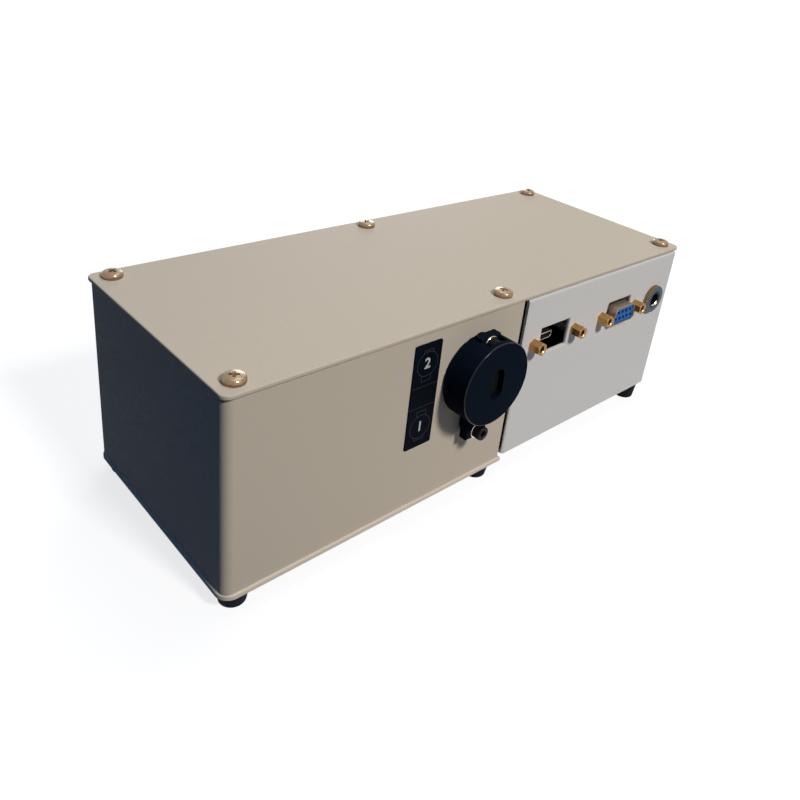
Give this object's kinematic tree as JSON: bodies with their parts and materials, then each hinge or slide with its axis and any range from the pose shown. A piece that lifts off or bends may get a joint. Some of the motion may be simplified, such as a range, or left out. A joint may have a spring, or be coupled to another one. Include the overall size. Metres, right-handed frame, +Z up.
{
  "type": "miniature spectrometer",
  "caption": "Bench spectrometer in a bent-sheet case: a sliding entrance-slit head on a rail, data, serial and power sockets, a screwed lid and rubber feet.",
  "frame": {"origin": "centre of the whole part's bounding box in X and Y, on the surface that the feet stand on", "axes": "+X along the case towards the electronics half, -Y out of the front with the slit and the sockets, +Z up through the lid"},
  "size_m": [0.232, 0.1018, 0.0818],
  "materials": {
    "enclosure_paint": "fine-textured warm light grey powder coat",
    "panel_paint": "fine-textured near-white powder coat",
    "plated_steel": "nickel-plated, satin",
    "black_rubber": "matt",
    "bare_aluminium": "satin",
    "label_film": "dark blue printed film, light figures",
    "black_anodised": "black anodised, satin",
    "black_steel": "black oxide",
    "slit_foil": "blackened foil",
    "spring_wire": "drawn wire",
    "gold_brass": "gold-flashed",
    "tinned_shell": "bright tin plate",
    "black_plastic": "moulded",
    "blue_plastic": "moulded",
    "circuit_board": "solder mask",
    "chip_epoxy": "moulded epoxy",
    "mirror_glass": "first-surface coating",
    "grating_glass": "ruled coating"
  },
  "bodies": {
    "case": {"base_plate": "panel_paint", "housing_shell": "enclosure_paint", "connector_case": "panel_paint", "lid": "enclosure_paint", "lid_screws": "plated_steel", "lid_nuts": "plated_steel", "foot_nuts": "plated_steel", "foot_screws": "plated_steel", "rubber_feet": "black_rubber", "tall_rubber_feet": "black_rubber", "divider_wall": "bare_aluminium", "divider_screws": "plated_steel", "floor_screws": "plated_steel", "label_plate": "label_film", "slide_rail": "black_anodised", "rail_washers": "black_steel", "rail_screws": "black_steel", "backing_plate": "black_anodised", "usb_standoffs": "gold_brass", "serial_standoffs": "gold_brass", "usb_socket": "tinned_shell", "usb_tongue": "black_plastic", "usb_board": "circuit_board", "usb_board_spacers": "bare_aluminium", "usb_board_screws": "plated_steel", "serial_shell": "tinned_shell", "serial_insert": "blue_plastic", "serial_contacts": "gold_brass", "serial_board": "circuit_board", "serial_nuts": "plated_steel", "power_jack_body": "black_plastic", "power_jack_ring": "tinned_shell", "power_jack_pin": "gold_brass", "power_jack_nut": "tinned_shell", "main_board": "circuit_board", "board_spacers": "bare_aluminium", "board_screws": "plated_steel", "board_chips": "chip_epoxy", "optical_bench": "black_anodised", "bench_screws": "black_steel", "collimating_mirror": "mirror_glass", "collimating_mirror_mount": "black_anodised", "diffraction_grating": "grating_glass", "diffraction_grating_mount": "black_anodised", "focusing_mirror": "mirror_glass", "focusing_mirror_mount": "black_anodised", "mount_screws": "black_steel", "detector_array": "chip_epoxy", "detector_board": "circuit_board", "light_baffle": "black_anodised"},
    "slit_slide": {"slit_head": "black_anodised", "slit_plate": "slit_foil", "slit_retainer": "black_anodised", "retainer_screws": "plated_steel", "plunger_ball": "plated_steel", "plunger_spring": "spring_wire", "plunger_screw": "black_steel"}
  },
  "joints": [
    {"name": "slit_slide", "type": "slide", "parent": "case", "child": "slit_slide", "axis": [0, 0, -1], "range_m": [0, 0.0088]}
  ]
}
